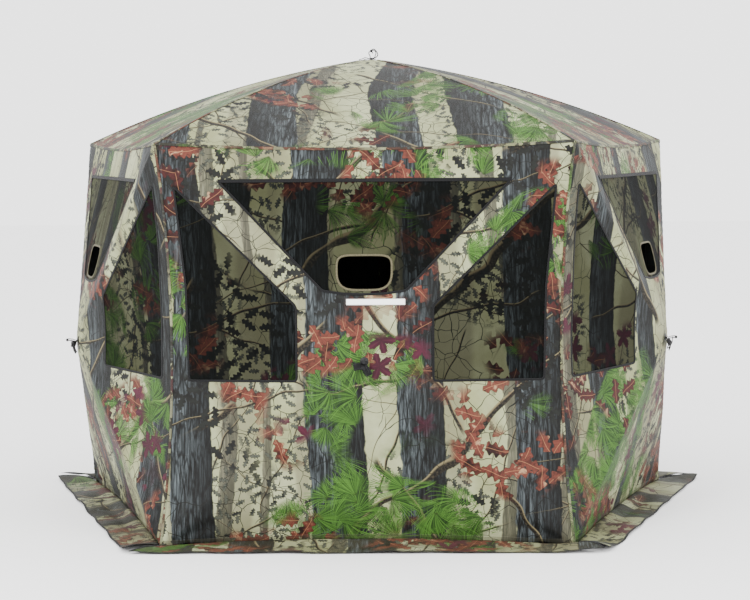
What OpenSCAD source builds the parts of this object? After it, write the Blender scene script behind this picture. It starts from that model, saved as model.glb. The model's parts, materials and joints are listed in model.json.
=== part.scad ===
// Five-sided pop-up ground blind. A hub in the middle of each wall and one in the roof spread
// fibreglass poles to the corners, which push the fabric outwards and hold it tight.
// Origin: on the ground, at the centre of the bounding box. +Z up, wall 1 faces -Y.
// Walls are numbered anticlockwise from above. Left and right are as seen from outside.

/* [Tent] */
// Width of each wall, corner to corner
wall_w = 1600; // [1400:10:1800]
// Height of the eaves at the corners
eave_h = 1552; // [1450:1:1650]
// Height of the roof hub above the eaves
roof_rise = 352; // [300:1:400]
// How far a wall hub stands out of its wall plane
wall_bulge = 187; // [150:1:220]
// Height of the wall hubs above the ground
hub_h = 735; // [650:1:820]
// How far the roof seams arch above a straight line
roof_arch = 46; // [30:1:60]

/* [Fabric] */
// Thickness of the fabric and of the mesh
fabric_t = 1; // [0.8:0.1:1.5]
// Inward bow of the corner seams at half height
seam_bow = 80; // [40:1:100]
// Sag of the eaves in the middle of a wall
eave_sag = 25; // [10:1:40]
// Lift of the bottom edge in the middle of a wall
hem_lift = 25; // [5:1:40]
// Width of the ground skirt flaps
skirt_w = 160; // [100:5:200]

/* [Frame] */
// Diameter of the fibreglass poles
pole_d = 9.5; // [8:0.5:11]
// Diameter of the end caps and ferrules on the poles
cap_d = 12; // [11.5:0.5:12.5]
// Radius of the hub discs
hub_r = 42; // [40:1:46]
// Thickness of the hub discs
hub_t = 22; // [20:1:24]
// Radius of the circle of pole pins in a hub
pin_circle_r = 28; // [26:1:30]
// Radius of the pole pins
pin_r = 2.5; // [2:0.1:3]
// Radial play of the poles on their pins
pin_play = 0.05; // [0.02:0.01:0.1]

/* [Windows and door] */
// Half width of the view port in the middle mesh
port_half_w = 102; // [80:1:120]
// Height of the lower edge of the view port
port_low = 1000; // [995:1:1010]
// Height of the upper edge of the view port
port_high = 1126; // [1100:1:1140]
// Wall that holds the door
door_wall = 4; // [3:1:4]

/* [Hardware] */
// How far the pull straps stand out of the wall hubs
pull_reach = 48; // [40:1:60]
// Height of the pull loop above the roof hub
loop_h = 55; // [45:1:65]
// Bore radius of the stake eyelets
eyelet_r = 6; // [5:0.5:7]
// Distance of the stake eyelets from the corners
eyelet_out = 48; // [44:1:60]

/* [Hidden] */
sides = 5;
turn = 360 / sides;
apothem = wall_w / 2 / tan(turn / 2);
corner_r = wall_w / 2 / sin(turn / 2);
half_w = wall_w / 2;
top_h = eave_h + roof_rise;
// Fabric panels end this far from a seam, and this far above the ground
seam_gap = 1.5;
hem_h = 1;
// Flat fabric disc over each hub, and the hole in it for the hub bolt
disc_r = 50;
bolt_r = 4.5;
bolt_hole_r = 5;
// The mitred ends of the skirt flaps stay this far from the corners, measured along the wall
flap_end = 18;
// The bounding box runs from the front pull strap to the rear skirt corners
front_y = -(apothem + wall_bulge + pull_reach);
rear_y = corner_r - flap_end * sin(turn / 2) + skirt_w / cos(turn / 2);
centre_y = -(front_y + rear_y) / 2;
// Depth of the pole pins behind the outer face of the fabric
pin_depth = fabric_t + 1.2 + hub_t / 2;
// Tips of the wall poles: distance from the corner, and depth behind the wall plane
tip_back = 50;
tip_y = 10;
// Tips of the roof poles: distance from the corner, and height above the eave
roof_tip_back = 65;
roof_tip_up = 14;
// Poles arch a little less than the fabric over them
pole_arch = roof_arch - 8;
slot_w = cap_d + 1;
cheek_t = 3;
eye_r = cap_d / 2;
ferrule_l = 45;
tip_cap_l = 25;
steps = 10;
// Door panel, as fractions of the way from hub to seam, and along the seam
door_in = 0.14;
door_out = 0.965;
strip_in = 0.97;
door_low = 0.06;
zip_gap = 0.003;

// Corners of the wall windows, in the wall plane
top_window = [[-555, 1406], [-158, 996], [-80, 985], [0, 982], [80, 985], [158, 996], [555, 1406]];
side_window = [[730, 1390], [258, 937], [258, 652], [685, 639], [692, 1000]];

// ---------- frames ----------

// Wall frame: x along the wall to the right, y inwards, z up, origin on the ground mid-wall
module on_wall(i)
    translate([0, centre_y, 0]) rotate([0, 0, turn * (i - 1)]) translate([0, -apothem, 0]) children();

// Corner frame: the corner at the right-hand end of wall i, x outwards
module on_corner(i)
    translate([0, centre_y, 0]) rotate([0, 0, turn * (i - 1) - 90 + turn / 2])
        translate([corner_r, 0, 0]) children();

// Hub frame: x and y in the plane of the hub, z out of the tent, origin on the fabric
module on_wall_hub(i) on_wall(i) translate([0, -wall_bulge, hub_h]) rotate([90, 0, 0]) children();
module on_roof_hub() translate([0, centre_y, top_h]) rotate([0, 0, turn / 2 - 90]) children();

// ---------- shared shapes ----------

function lerp(a, b, t) = a + (b - a) * t;
function bow(t) = 4 * t * (1 - t);

// A closed solid through a row of matching sections. The first half of a section is its outer side
// and the second half its inner side, and both sides are split into triangles the same way.
// The ends are rows of small quads from the outer side to the inner side.
module loft(sections) {
    n = len(sections[0]);
    last = (len(sections) - 1) * n;
    points = [for (section = sections) each section];
    skin = [for (i = [0:len(sections) - 2], j = [0:n - 1])
        let (a = i * n + j, b = i * n + (j + 1) % n)
        each j < n / 2 ? [[a, b, a + n], [b, b + n, a + n]] : [[a, b, b + n], [a, b + n, a + n]]];
    ends = [for (j = [0:n / 2 - 2]) let (quad = [j, j + 1, n - 2 - j, n - 1 - j])
        each [[for (m = [3:-1:0]) quad[m]], [for (m = [0:3]) last + quad[m]]]];
    polyhedron(points, concat(skin, ends), convexity = 6);
}

// ---------- walls ----------

// Points on the edges of a wall, for t from 0 to 1
function eave_point(t) = [lerp(-half_w, half_w, t) * (1 - seam_gap / half_w), 0,
    eave_h - 2 * seam_gap - eave_sag * bow(t)];
function hem_point(t) = [lerp(half_w, -half_w, t) * (1 - seam_gap / half_w), 0,
    hem_h + hem_lift * bow(t)];
function seam_point(t) = [half_w - seam_gap - seam_bow * sin(turn / 2) * bow(t),
    seam_bow * cos(turn / 2) * bow(t), lerp(hem_h, eave_h - 2 * seam_gap, t)];

// Point at fraction u of the way from the flat disc over the hub to a point on the edge
function ray_point(edge, u) =
    let (run = [edge.x, edge.z - hub_h], start = run / norm(run) * disc_r)
    lerp([start.x, -wall_bulge, hub_h + start.y], edge, u);

// Section of the fabric along one ray, between fractions u0 and u1
function ray_section(edge, u0, u1) =
    let (a = ray_point(edge, u0), b = ray_point(edge, u1), inner = [0, fabric_t, 0])
    [a, b, b + inner, a + inner];

// The fabric between two poles ends a hair short of them, so that its panels stay apart
module eave_panel() loft([for (k = [0:steps])
    ray_section(eave_point(lerp(0.0005, 0.9995, k / steps)), 0.001, 1)]);
module hem_panel() loft([for (k = [0:steps])
    ray_section(hem_point(lerp(0.0005, 0.9995, k / steps)), 0.001, 1)]);
module seam_patch(t0, t1, u0, u1) loft([for (k = [0:steps])
    ray_section(seam_point(lerp(t1, t0, k / steps)), u0, u1)]);
module seam_panel() seam_patch(0.0005, 0.9995, 0.001, 1);

// The side panel on the door's side of the door wall: only a frame round the door
module door_surround() {
    seam_patch(0.0005, door_low - zip_gap, 0.001, 1);
    seam_patch(1 - door_low + zip_gap, 0.9995, 0.001, 1);
    seam_patch(door_low, 1 - door_low, 0.001, door_in - zip_gap);
}

// Prism through the wall, with its outline in the wall plane
module through_wall(outline)
    translate([0, 400, 0]) rotate([90, 0, 0]) linear_extrude(800) polygon(outline);
module on_side(side) mirror([side > 0 ? 0 : 1, 0, 0]) children();

// Outline drawn in towards its middle, so that the mesh stays clear of the fabric
function middle(outline) = [for (p = outline) 1] * outline / len(outline);
function shrunk(outline, by) = let (c = middle(outline))
    [for (p = outline) p - (p - c) / norm(p - c) * by];
mesh_gap = 1.2;

// The view port: a rounded rectangle, flatter on top than underneath
port_outline = let (mid = lerp(port_low, port_high, 0.6))
    [for (a = [0:12:348]) let (upper = a < 180)
        [port_half_w * sign(cos(a)) * pow(abs(cos(a)), upper ? 0.35 : 0.5),
            mid + (upper ? port_high - mid : port_low - mid) * pow(abs(sin(a)), upper ? 0.5 : 0.7)]];

module wall_fabric(i) on_wall(i) {
    difference() {
        eave_panel();
        through_wall(top_window);
    }
    hem_panel();
    for (side = [-1, 1]) on_side(side)
        if (i == door_wall && side > 0) door_surround();
        else difference() {
            seam_panel();
            through_wall(side_window);
        }
    translate([0, -wall_bulge, hub_h]) rotate([-90, 0, 0]) difference() {
        cylinder(r = disc_r - 0.5, h = fabric_t, $fn = 64);
        translate([0, 0, -1]) cylinder(r = bolt_hole_r, h = fabric_t + 2, $fn = 32);
    }
}

module centre_window_meshes() color("dimgray") for (i = [1:sides]) on_wall(i) difference() {
    intersection() {
        eave_panel();
        through_wall(shrunk(top_window, mesh_gap));
    }
    through_wall(port_outline);
}

module side_window_meshes() color("dimgray") for (i = [1:sides], side = [-1, 1])
    if (i != door_wall || side < 0) on_wall(i) on_side(side) intersection() {
        seam_panel();
        through_wall(shrunk(side_window, mesh_gap));
    }

// Blank strip sewn to the front wall under its port
label_w = 221;
label_h = 23;
module blank_label() color("whitesmoke") on_wall(1) translate([0, -wall_bulge, hub_h])
    rotate([-atan(wall_bulge / (eave_h - eave_sag - hub_h)), 0, 0])
        translate([43 - label_w / 2, -3.2, 213]) cube([label_w, 1, label_h]);

// ---------- roof ----------

// Point on the roof in the frame of one gore: u from hub to eave, t from one pole to the other
function gore_edge(t) = let (reach = 1 - seam_gap / corner_r)
    lerp([corner_r * reach, 0], corner_r * reach * [cos(turn), sin(turn)], t);
function gore_point(u, t) = let (flat = gore_edge(t), start = flat / norm(flat) * (disc_r + 0.5),
        place = lerp(start, flat, u))
    [place.x, place.y, top_h - roof_rise * u + roof_arch * bow(u) - eave_sag * u * bow(t)];
module roof_gore() loft([for (k = [0:8]) let (t = lerp(0.9992, 0.0008, k / 8))
    concat([for (m = [0:steps]) gore_point(m / steps, t)],
        [for (m = [steps:-1:0]) gore_point(m / steps, t) - [0, 0, fabric_t]])]);

module roof_cover() color("darkkhaki") {
    for (i = [1:sides]) translate([0, centre_y, 0])
        rotate([0, 0, turn * (i - 1) - 90 + turn / 2]) roof_gore();
    on_roof_hub() translate([0, 0, -fabric_t]) difference() {
        cylinder(r = disc_r, h = fabric_t, $fn = 64);
        translate([0, 0, -1]) cylinder(r = bolt_hole_r, h = fabric_t + 2, $fn = 32);
    }
}

// ---------- ground skirt and stake eyelets ----------

// Section across a flap, from the wall's bottom edge outwards and down to the ground
function flap_section(t) = let (x = lerp(-1, 1, t), reach = half_w - flap_end, top = [0, 0, fabric_t],
        tuck = [x * reach, -0.8, hem_lift * bow(t)],
        hem = [x * (reach + skirt_w * tan(turn / 2)), -skirt_w, 0])
    [tuck, tuck + top, hem + top, hem];
module stake_tab() translate([-24, 0, 1]) difference() {
    union() {
        translate([34, -13, 0]) cube([eyelet_out - 10, 26, fabric_t]);
        translate([24 + eyelet_out, 0, 0]) cylinder(r = 13, h = fabric_t, $fn = 48);
    }
    translate([24 + eyelet_out, 0, -1]) cylinder(r = 8.2, h = 3, $fn = 48);
}
module ground_skirt() color("darkkhaki") for (i = [1:sides]) {
    on_wall(i) loft([for (k = [0:12]) flap_section(1 - k / 12)]);
    on_corner(i) stake_tab();
}

eyelet_h = 3;
module stake_eyelets() color("silver") for (i = [1:sides]) on_corner(i)
    translate([eyelet_out, 0, 0]) rotate_extrude($fn = 64)
        polygon([[eyelet_r, 0], [11, 0], [11, 0.8], [8, 0.8], [8, 2.2], [11, 2.2],
            [11, eyelet_h], [eyelet_r, eyelet_h]]);

// ---------- poles ----------

// In-plane direction from a wall hub to a corner, and the length of the run
function pole_run(side, up) = [side * half_w, (up > 0 ? eave_h : 0) - hub_h];
function pole_turn(side, up) = let (run = pole_run(side, up)) atan2(run.y, run.x);
function pole_flat(side, up) = norm(pole_run(side, up)) - pin_circle_r - tip_back;
pole_y = pin_depth - wall_bulge;
pole_rise = tip_y - pole_y;

// Frames at the pin and at the tip of a wall pole, x along the pole seen square on
module at_pole_pin(i, side, up) on_wall(i) translate([0, pole_y, hub_h])
    rotate([0, -pole_turn(side, up), 0]) translate([pin_circle_r, 0, 0]) children();
module at_pole_tip(i, side, up) on_wall(i) translate([0, tip_y, hub_h])
    rotate([0, -pole_turn(side, up), 0])
        translate([pin_circle_r + pole_flat(side, up), 0, 0]) children();

// Ferrule with a cross-drilled eye for the pin, z along the pin
module pole_eye() difference() {
    union() {
        translate([0, 0, -cap_d / 2]) cylinder(r = eye_r, h = cap_d, $fn = 48);
        rotate([0, 90, 0]) cylinder(d = cap_d, h = ferrule_l, $fn = 48);
    }
    translate([0, 0, -cap_d]) cylinder(r = pin_r + pin_play, h = 2 * cap_d, $fn = 48);
}
module wall_pole(i, side, up) color("black") {
    flat = pole_flat(side, up);
    long = norm([flat, pole_rise]);
    at_pole_pin(i, side, up) rotate([0, 0, atan(pole_rise / flat)]) {
        pole_eye();
        rotate([0, 90, 0]) {
            translate([0, 0, ferrule_l - 1]) cylinder(d = pole_d, h = long - ferrule_l, $fn = 48);
            translate([0, 0, long - tip_cap_l]) cylinder(d = cap_d, h = tip_cap_l, $fn = 48);
        }
    }
}

roof_pin_z = top_h - pin_depth;
roof_flat = corner_r - roof_tip_back - pin_circle_r;
roof_fall = roof_pin_z - eave_h - roof_tip_up;
roof_long = norm([roof_flat, roof_fall]);
arch_r = (roof_long * roof_long / 4 + pole_arch * pole_arch) / (2 * pole_arch);
arch_a = asin(roof_long / 2 / arch_r);

// A roof pole is an arc: pin at the origin, tip on the x axis, arched towards y
module roof_pole(i) color("black") translate([0, centre_y, roof_pin_z])
    rotate([0, 0, turn * (i - 1) - 90 + turn / 2]) translate([pin_circle_r, 0, 0])
        rotate([90, 0, 0]) rotate([0, 0, -atan(roof_fall / roof_flat)]) {
            rotate([0, 0, arch_a]) pole_eye();
            translate([roof_long / 2, pole_arch - arch_r, 0]) {
                tip_a = tip_cap_l / arch_r * 180 / PI;
                eye_a = (ferrule_l - 2) / arch_r * 180 / PI;
                rotate([0, 0, 90 - arch_a + tip_a / 2])
                    rotate_extrude(angle = 2 * arch_a - eye_a - tip_a / 2, $fn = 180)
                        translate([arch_r, 0]) circle(d = pole_d, $fn = 32);
                rotate([0, 0, 90 - arch_a]) rotate_extrude(angle = tip_a, $fn = 180)
                    translate([arch_r, 0]) circle(d = cap_d, $fn = 32);
            }
        }

// ---------- hubs ----------

// Disc with one open slot and one pin hole for each pole, in the hub frame
module hub_disc(angles) translate([0, 0, -pin_depth]) difference() {
    translate([0, 0, -hub_t / 2]) cylinder(r = hub_r, h = hub_t, $fn = 96);
    translate([0, 0, -hub_t]) cylinder(r = bolt_r, h = 2 * hub_t, $fn = 32);
    for (a = angles) rotate([0, 0, a]) {
        translate([pin_circle_r - eye_r - 1.5, -slot_w / 2, -hub_t])
            cube([hub_r, slot_w, 2 * hub_t]);
        hub_pin_at();
    }
}
pin_l = 24;
module hub_pin_at() translate([pin_circle_r, pin_l / 2, 0]) rotate([90, 0, 0])
    cylinder(r = pin_r, h = pin_l, $fn = 48);
module hub_pins(angles) translate([0, 0, -pin_depth]) for (a = angles) rotate([0, 0, a]) hub_pin_at();

wall_angles = [for (side = [-1, 1], up = [-1, 1]) pole_turn(side, up)];
roof_angles = [for (i = [0:sides - 1]) turn * i];
module wall_hub(i) color("black") on_wall_hub(i) hub_disc(wall_angles);
module wall_hub_pins(i) color("silver") on_wall_hub(i) hub_pins(wall_angles);
module roof_hub() color("black") on_roof_hub() hub_disc(roof_angles);
module roof_hub_pins() color("silver") on_roof_hub() hub_pins(roof_angles);

// Bolt and washer that hold the fabric to a hub and carry its pull
module hub_bolt() {
    translate([0, 0, -pin_depth]) cylinder(r = bolt_r, h = pin_depth + 1, $fn = 32);
    translate([0, 0, 0.5]) cylinder(r = 16, h = 3, $fn = 64);
}

// Webbing loop folded round the washer, leaning out and down
strap_w = 24;
strap_r = 9;
module strap_outline(r) hull() {
    translate([0, 3.4 + strap_r]) circle(r, $fn = 28);
    translate([-36, pull_reach - strap_r]) circle(r, $fn = 28);
}
module pull_strap(i) color("black") on_wall_hub(i) {
    hub_bolt();
    rotate([90, 0, 90]) translate([0, 0, -strap_w / 2]) linear_extrude(strap_w) difference() {
        strap_outline(strap_r);
        strap_outline(strap_r - 2);
    }
}

rope_r = 4;
loop_r = (loop_h - 3) / 2 - rope_r;
module roof_pull_loop() color("black") on_roof_hub() {
    hub_bolt();
    rotate([0, 0, 90 - turn / 2]) translate([0, 0, 3 + loop_r + rope_r]) rotate([90, 0, 0])
        rotate_extrude($fn = 96) translate([loop_r, 0]) circle(rope_r, $fn = 32);
}

// ---------- corner blocks ----------

// Fork that takes the tip of a wall pole: open on the swing side, closed past the tip
module tip_fork() {
    for (side = [-1, 1]) translate([-25, -5, side > 0 ? slot_w / 2 : -slot_w / 2 - cheek_t])
        cube([50, 18, cheek_t]);
    translate([19, -5, -slot_w / 2 - cheek_t]) cube([6, 18, slot_w + 2 * cheek_t]);
}

// Fork that takes the tip of a roof pole, in the corner frame: open above and past the tip
core_back = 18;
module roof_fork() for (side = [-1, 1]) {
    translate([-roof_tip_back - 45, side > 0 ? slot_w / 2 : -slot_w / 2 - cheek_t, -16])
        cube([45, cheek_t, 30]);
    translate([-roof_tip_back - 45, -slot_w / 2 - cheek_t, -16])
        cube([roof_tip_back + 45 - core_back, slot_w + 2 * cheek_t, 4]);
}

module top_corner_blocks() color("black") for (i = [1:sides]) {
    at_pole_tip(i, 1, 1) tip_fork();
    at_pole_tip(i % sides + 1, -1, 1) tip_fork();
    on_corner(i) translate([0, 0, eave_h]) {
        translate([-core_back, 0, -34]) cylinder(r = 6, h = 22, $fn = 32);
        roof_fork();
    }
}
module bottom_corner_blocks() color("black") for (i = [1:sides]) {
    at_pole_tip(i, 1, -1) tip_fork();
    at_pole_tip(i % sides + 1, -1, -1) tip_fork();
    on_corner(i) translate([-core_back - 4, 0, 0]) {
        cylinder(r = 14, h = 5, $fn = 48);
        translate([4, 0, 0]) cylinder(r = 6, h = 34, $fn = 32);
    }
}

// ---------- door ----------

// Hinge line of the door: the straight upright through the corner of the door wall
module door_hinge_strip() color("black") on_wall(door_wall)
    seam_patch(door_low, 1 - door_low, strip_in, 1);
module door_panel() color("darkkhaki") on_wall(door_wall) difference() {
    seam_patch(door_low, 1 - door_low, door_in, door_out);
    through_wall(side_window);
}
module door_window_mesh() color("dimgray") on_wall(door_wall) intersection() {
    seam_patch(door_low, 1 - door_low, door_in, door_out);
    through_wall(shrunk(side_window, mesh_gap));
}

// Slider on the lower zip, on the wall's side of the teeth, closed at the hub end
function zip_point(u) = ray_point(seam_point(door_low), u);
zip_start = zip_point(door_in + 0.02);
zip_line = zip_point(door_out) - zip_start;
module zip_slider() color("silver") on_wall(door_wall) translate(zip_start)
    rotate([0, 0, atan2(zip_line.y, zip_line.x)])
        rotate([0, -atan2(zip_line.z, norm([zip_line.x, zip_line.y])), 0]) {
            translate([0, -9.5, -14]) cube([14, 5, 9]);
            translate([12, -8.5, -11.5]) cube([24, 1.6, 4]);
        }

roof_cover();
centre_window_meshes();
side_window_meshes();
ground_skirt();
top_corner_blocks();
bottom_corner_blocks();
stake_eyelets();
blank_label();
roof_hub();
roof_hub_pins();
roof_pull_loop();
door_hinge_strip();
door_panel();
door_window_mesh();
zip_slider();
for (i = [1:sides]) {
    color("darkkhaki") wall_fabric(i);
    wall_hub(i);
    wall_hub_pins(i);
    pull_strap(i);
    roof_pole(i);
    wall_pole(i, -1, 1);
    wall_pole(i, 1, 1);
    wall_pole(i, -1, -1);
    wall_pole(i, 1, -1);
}
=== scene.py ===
"""Five-sided pop-up ground blind: cloth, mesh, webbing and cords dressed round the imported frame.

Every piece is built in a wall frame (x along the wall, y inwards, z up, origin on the ground at
the middle of the wall) or in the roof's frame, and then placed on the pentagon. Metres throughout.
"""

import json
import math

import bmesh
import bpy
import numpy as np
from mathutils import Euler, Matrix, Vector, geometry


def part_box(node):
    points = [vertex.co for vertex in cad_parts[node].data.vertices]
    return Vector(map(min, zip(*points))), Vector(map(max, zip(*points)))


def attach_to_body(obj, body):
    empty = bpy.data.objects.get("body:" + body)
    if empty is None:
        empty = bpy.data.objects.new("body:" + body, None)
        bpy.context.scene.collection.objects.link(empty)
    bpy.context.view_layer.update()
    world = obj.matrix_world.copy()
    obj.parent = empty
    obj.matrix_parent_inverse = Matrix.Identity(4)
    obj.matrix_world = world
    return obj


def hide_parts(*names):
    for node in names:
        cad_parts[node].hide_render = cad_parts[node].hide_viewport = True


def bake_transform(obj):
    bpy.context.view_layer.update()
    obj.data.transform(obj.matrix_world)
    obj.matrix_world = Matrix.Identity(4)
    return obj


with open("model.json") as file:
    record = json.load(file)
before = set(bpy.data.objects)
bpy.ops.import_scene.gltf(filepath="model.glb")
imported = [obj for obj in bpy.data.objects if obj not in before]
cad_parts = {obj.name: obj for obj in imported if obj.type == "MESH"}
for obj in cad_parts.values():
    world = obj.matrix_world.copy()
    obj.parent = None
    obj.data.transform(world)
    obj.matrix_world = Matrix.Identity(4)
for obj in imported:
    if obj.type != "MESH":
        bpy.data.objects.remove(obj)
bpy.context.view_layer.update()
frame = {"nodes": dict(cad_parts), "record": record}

# ---------------------------------------------------------------- sizes from the frame

SIDES = 5
TURN = math.tau / SIDES
ROOT = "shell"
DOOR_WALL = 4
SEAM_GAP = 0.0015
FABRIC = 0.001

loop_low, loop_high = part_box("roof_pull_loop")
wall_low, wall_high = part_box("wall_1")
hub_low, hub_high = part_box("wall_hub_1")

HALF_W = wall_high.x + SEAM_GAP
EAVE_H = wall_high.z + 2 * SEAM_GAP
HUB_H = (hub_low.z + hub_high.z) / 2
APOTHEM = HALF_W / math.tan(TURN / 2)
CORNER_R = HALF_W / math.sin(TURN / 2)
CENTRE_Y = (loop_low.y + loop_high.y) / 2
BULGE = CENTRE_Y - APOTHEM - wall_low.y
TOP_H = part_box("roof_cover")[1].z
ROOF_RISE = TOP_H - EAVE_H
ROOF_ARCH = 0.046
SEAM_BOW = 0.080
EAVE_SAG = 0.025
HEM_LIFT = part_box("ground_skirt")[1].z - FABRIC
SKIRT_W = 0.160
FLAP_END = 0.018
DISC_R = 0.050
ARC_STEPS = 60

# Cloth stands this far outside the solids that it replaces
LIFT = 0.0006

# ---------------------------------------------------------------- camera

def linked(name, data):
    """A new object in the scene, from its data."""
    obj = bpy.data.objects.new(name, data)
    bpy.context.scene.collection.objects.link(obj)
    return obj


CAMERA_BACK = 7.73          # from the front wall's plane
CAMERA_SIDE = 0.23
CAMERA_LENS = 97.4
CAMERA_DIP, CAMERA_TURN, CAMERA_ROLL = 4.45, 1.43, 0.42          # degrees
camera_data = bpy.data.cameras.new("camera")
camera_data.lens = CAMERA_LENS
camera = linked("camera", camera_data)
camera.location = (CAMERA_SIDE, CENTRE_Y - APOTHEM - CAMERA_BACK, EAVE_H)
aim = Euler((math.radians(90 - CAMERA_DIP), 0, math.radians(CAMERA_TURN))).to_matrix()
camera.rotation_euler = (aim @ Matrix.Rotation(math.radians(-CAMERA_ROLL), 3, "Z")).to_euler()
bpy.context.scene.camera = camera


# ---------------------------------------------------------------- placing

def spun(points, a):
    """Points turned about the blind's middle, moved to the row frame."""
    x = points[:, 0] * math.cos(a) - points[:, 1] * math.sin(a)
    y = points[:, 0] * math.sin(a) + points[:, 1] * math.cos(a) + CENTRE_Y
    return np.stack([x, y, points[:, 2]], 1)


def on_wall(i, points):
    """Points in the frame of wall i, moved to the row frame."""
    return spun(np.asarray(points, float) - (0, APOTHEM, 0), TURN * (i - 1))


def on_gore(i, points):
    """Points in the frame of gore i, whose first pole lies along x, moved to the row frame."""
    return spun(np.asarray(points, float), TURN * (i - 1) - math.pi / 2 + TURN / 2)


def on_corner(i, points):
    """Points in the frame of the corner at the right-hand end of wall i, x outwards."""
    return on_gore(i, np.asarray(points, float) + (CORNER_R, 0, 0))


def bow(t):
    """0 at both ends and 1 in the middle."""
    return 4 * t * (1 - t)


def smooth(low, high, value):
    """0 below low, 1 above high, smooth between."""
    t = np.clip((np.asarray(value, float) - low) / (high - low), 0, 1)
    return t * t * (3 - 2 * t)


def swell(away, middle, width):
    """1 at a distance from some point, and softly 0 nearer and further."""
    return np.exp(-((away - middle) / width) ** 2)


# ---------------------------------------------------------------- wall surface

RIPPLE = 0.0022

def seam_points(side, t):
    """The corner seam at the left (-1) or right (1) end of a wall, t from bottom to top."""
    x = side * (HALF_W - SEAM_BOW * math.sin(TURN / 2) * bow(t))
    return np.stack([x, SEAM_BOW * math.cos(TURN / 2) * bow(t), EAVE_H * t], 1)


def eave_points(t):
    """The sagging eave, t from left to right."""
    return np.stack([HALF_W * (2 * t - 1), 0 * t, EAVE_H - EAVE_SAG * bow(t)], 1)


def hem_points(t):
    """The wall's lower edge, t from left to right."""
    return np.stack([HALF_W * (2 * t - 1), 0 * t, FABRIC + HEM_LIFT * bow(t)], 1)


def wall_edge():
    """The whole edge of a wall, anticlockwise from the bottom right."""
    t = np.linspace(0, 1, ARC_STEPS, endpoint=False)
    return np.concatenate([seam_points(1, t), eave_points(1 - t), seam_points(-1, 1 - t),
                           hem_points(t)])


EDGE = wall_edge()
EDGE_TURN = np.unwrap(np.arctan2(EDGE[:, 2] - HUB_H, EDGE[:, 0]))
EDGE_RUN = np.hypot(EDGE[:, 2] - HUB_H, EDGE[:, 0])


def around_hub(x, z):
    """Distance from the hub, its share of the way to the edge, the edge's depth, and the angle."""
    angle = np.arctan2(z - HUB_H, x)
    angle = np.where(angle < EDGE_TURN[0], angle + math.tau, angle)
    turn = np.append(EDGE_TURN, EDGE_TURN[0] + math.tau)
    run = np.interp(angle, turn, np.append(EDGE_RUN, EDGE_RUN[0]))
    depth = np.interp(angle, turn, np.append(EDGE[:, 1], EDGE[0, 1]))
    away = np.hypot(x, z - HUB_H)
    return away, np.clip((away - DISC_R) / (run - DISC_R), 0, 1), depth, angle


def ripples(x, z, seed):
    """Soft unevenness of tight cloth: a few long waves in seeded directions."""
    total = 0 * x
    rng = np.random.default_rng(seed)
    for length in (0.62, 0.43, 0.31, 0.22, 0.15):
        heading, phase = rng.uniform(0, math.tau, 2)
        total += length * np.sin(math.tau * (x * math.cos(heading) + z * math.sin(heading))
                                 / length + phase)
    return total / 1.73


def wall_depth(x, z, seed=0, out=0.0):
    """Depth y of wall cloth at x, z: the cone from hub to edge, with its unevenness."""
    away, share, edge_y, angle = around_hub(x, z)
    y = -BULGE + (BULGE + edge_y) * share
    inside = smooth(0, 0.05, 1 - share)
    # ripples, then puckers at the disc, the bottom corners, the top corners and the hem
    y = y + RIPPLE * ripples(x, z, seed + 11) * inside
    y = y - 0.0016 * swell(away, 0.075, 0.035) * np.sin(angle * 13 + seed)
    for side in (-1, 1):
        cx, cz = side * HALF_W - x, z
        reach = np.hypot(cx, cz)
        fan = np.arctan2(cz, cx * side)
        y = y + 0.0040 * swell(reach, 0.13, 0.10) * np.sin(fan * 17 + seed) * inside
        top = np.hypot(cx, EAVE_H - z)
        fan = np.arctan2(EAVE_H - z, cx * side)
        y = y + 0.0018 * swell(top, 0.11, 0.08) * np.sin(fan * 19 + 2 * seed) * inside
    hem = np.exp(-np.clip(z - 0.02, 0, 9) / 0.07)
    y = y + 0.0030 * hem * np.sin(x * 41 + 3 * np.sin(x * 9 + seed)) * inside
    return y - LIFT - out


def wall_points(x, z, seed=0, out=0.0):
    x, z = np.asarray(x, float), np.asarray(z, float)
    return np.stack([x, wall_depth(x, z, seed, out), z], 1)


def follow_weight(x, z):
    """How much cloth at x, z follows its hub: all at the disc, none at the edge."""
    return 1 - around_hub(np.asarray(x, float), np.asarray(z, float))[1]


# ---------------------------------------------------------------- outlines in the wall plane

def corners_rounded(corners, radius, steps=6):
    """A closed outline with its corners rounded."""
    corners = [np.array(c, float) for c in corners]
    out = []
    for k, corner in enumerate(corners):
        before = corners[k - 1] - corner
        after = corners[(k + 1) % len(corners)] - corner
        cut = min(radius, np.linalg.norm(before) / 3, np.linalg.norm(after) / 3)
        a = corner + before / np.linalg.norm(before) * cut
        b = corner + after / np.linalg.norm(after) * cut
        for t in np.linspace(0, 1, steps):
            out.append((1 - t) ** 2 * a + 2 * t * (1 - t) * corner + t * t * b)
    return np.array(out)


def spaced(outline, step, closed=True):
    """The outline again, with points no further apart than step."""
    points = list(outline) + ([outline[0]] if closed else [])
    out = []
    for a, b in zip(points[:-1], points[1:]):
        a, b = np.array(a, float), np.array(b, float)
        n = max(1, math.ceil(np.linalg.norm(b - a) / step))
        out += [a + (b - a) * k / n for k in range(n)]
    if not closed:
        out.append(np.array(points[-1], float))
    return np.array(out)


def unit(vectors):
    """Rows of vectors, each made one long."""
    return vectors / np.linalg.norm(vectors, axis=1)[:, None]


def grown(outline, by):
    """The outline moved outwards by a distance, square to itself. It runs anticlockwise."""
    ahead = unit(np.roll(outline, -1, 0) - np.roll(outline, 1, 0))
    return outline + by * np.stack([ahead[:, 1], -ahead[:, 0]], 1)


def anticlockwise(outline):
    x, z = outline[:, 0], outline[:, 1]
    area = np.sum(x * np.roll(z, -1) - z * np.roll(x, -1))
    return outline if area > 0 else outline[::-1]


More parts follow.
